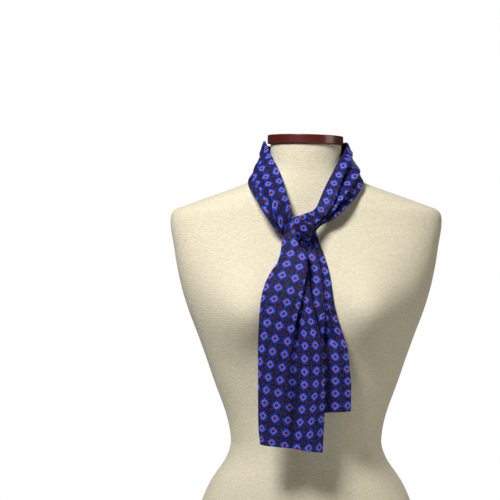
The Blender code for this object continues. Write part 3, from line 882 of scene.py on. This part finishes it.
capSettings = {"side": -0.4, "radius": 55.6, "thick": 12.4, "points": 160, "edge": 0.9}


def addCap():
    s = capSettings
    bm = bmesh.new()
    bmesh.ops.create_cone(bm, cap_ends=True, segments=s["points"], radius1=s["radius"] * mm,
                          radius2=s["radius"] * mm, depth=s["thick"] * mm)
    tilt = math.radians(formSettings["tilt"])
    seat = neckTop + seamGap + s["thick"] / 2
    for v in bm.verts:
        x = v.co.x
        z = v.co.z
        v.co.x = x * math.cos(tilt) + z * math.sin(tilt) + s["side"] * mm
        v.co.z = -x * math.sin(tilt) + z * math.cos(tilt) + seat * mm
    obj = linkedObject("wood_cap", bm)
    roundedEdges(obj, s["edge"])
    obj.data.materials.append(wood)
    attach(obj, "root")
    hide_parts("neck_cap")
    print("cap made")


# margin: how far the board reaches past the form's foot, all round.
boardSettings = {"height": 20.0, "margin": 5.0, "points": 160, "edge": 2.5}


def addBoard():
    s = boardSettings
    bm = bmesh.new()
    bmesh.ops.create_circle(bm, cap_ends=True, segments=s["points"], radius=1)
    for v in bm.verts:
        edge = formPoint(formSections[1], math.atan2(v.co.y, v.co.x))
        v.co = edge + Vector((edge.x, edge.y, 0)).normalized() * s["margin"] * mm
        v.co.z = 0
    raised = bmesh.ops.extrude_face_region(bm, geom=bm.faces[:])["geom"]
    for item in raised:
        if isinstance(item, bmesh.types.BMVert):
            item.co.z = s["height"] * mm
    bmesh.ops.recalc_face_normals(bm, faces=bm.faces)
    obj = linkedObject("wood_board", bm)
    roundedEdges(obj, s["edge"])
    obj.data.materials.append(wood)
    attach(obj, "root")
    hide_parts("base_board")
    print("board made")


addForm()
addCap()
addBoard()

# Lights, room and camera are in metres.
lights = (
    {"name": "key", "place": (-0.56, -1.1, 1.66), "aim": (0, 0, 0.47), "size": 0.52, "energy": 35.6,
     "colour": (1, 0.985, 0.96)},
    {"name": "fill", "place": (2.3, -0.6, 1.2), "aim": (0, 0, 0.55), "size": 1.5, "energy": 15,
     "colour": (1, 0.95, 0.86)},
    {"name": "back", "place": (0.5, 2.4, 1.3), "aim": (0, 0, 0.4), "size": 1.4, "energy": 16,
     "colour": (1, 0.99, 0.97)},
)


def addLight(s):
    light = bpy.data.lights.new(s["name"], "AREA")
    light.shape = "DISK"
    light.size = s["size"]
    light.energy = s["energy"]
    light.color = s["colour"]
    obj = bpy.data.objects.new(s["name"], light)
    obj.location = s["place"]
    towards = Vector(s["aim"]) - Vector(s["place"])
    obj.rotation_euler = towards.to_track_quat("-Z", "Y").to_euler()
    bpy.context.scene.collection.objects.link(obj)


for settings in lights:
    addLight(settings)

# The room is white to look at, and lights the object less strongly than it looks.
room = {
    "glow": {"Color": (1, 0.93, 0.82, 1), "Strength": 0.06},
    "seen": {"Color": (1, 1, 1, 1), "Strength": 1.0},
    "floorHalf": 0.9, "floorDrop": 0.0005,
    "floor": {"Base Color": (0.62, 0.62, 0.61, 1), "Roughness": 0.8},
}


def addWorld():
    world = bpy.data.worlds.new("studio")
    bpy.context.scene.world = world
    world.use_nodes = True
    nodes = world.node_tree.nodes
    links = world.node_tree.links
    glow = nodes["Background"]
    setInputs(glow, room["glow"])
    seen = nodes.new("ShaderNodeBackground")
    setInputs(seen, room["seen"])
    path = nodes.new("ShaderNodeLightPath")
    chosen = nodes.new("ShaderNodeMixShader")
    links.new(path.outputs["Is Camera Ray"], chosen.inputs[0])
    links.new(glow.outputs[0], chosen.inputs[1])
    links.new(seen.outputs[0], chosen.inputs[2])
    links.new(chosen.outputs[0], nodes["World Output"].inputs["Surface"])


def addFloor():
    bm = bmesh.new()
    bmesh.ops.create_grid(bm, x_segments=1, y_segments=1, size=room["floorHalf"])
    floor = linkedObject("floor", bm)
    floor.location = (0, 0, -room["floorDrop"])
    material, _, _, shader = newMaterial("pale_floor")
    setInputs(shader, room["floor"])
    floor.data.materials.append(material)


camera = {"place": (-0.0816, -3.0, 0.527), "lens": 148.2, "sensor": 36}


def addCamera():
    lens = bpy.data.cameras.new("camera")
    lens.lens = camera["lens"]
    lens.sensor_width = camera["sensor"]
    eye = bpy.data.objects.new("camera", lens)
    eye.location = camera["place"]
    eye.rotation_euler = (math.pi / 2, 0, 0)
    bpy.context.scene.collection.objects.link(eye)
    bpy.context.scene.camera = eye
    bpy.context.scene.view_settings.view_transform = "Standard"


addWorld()
addFloor()
addCamera()
print("lights, room and camera made")
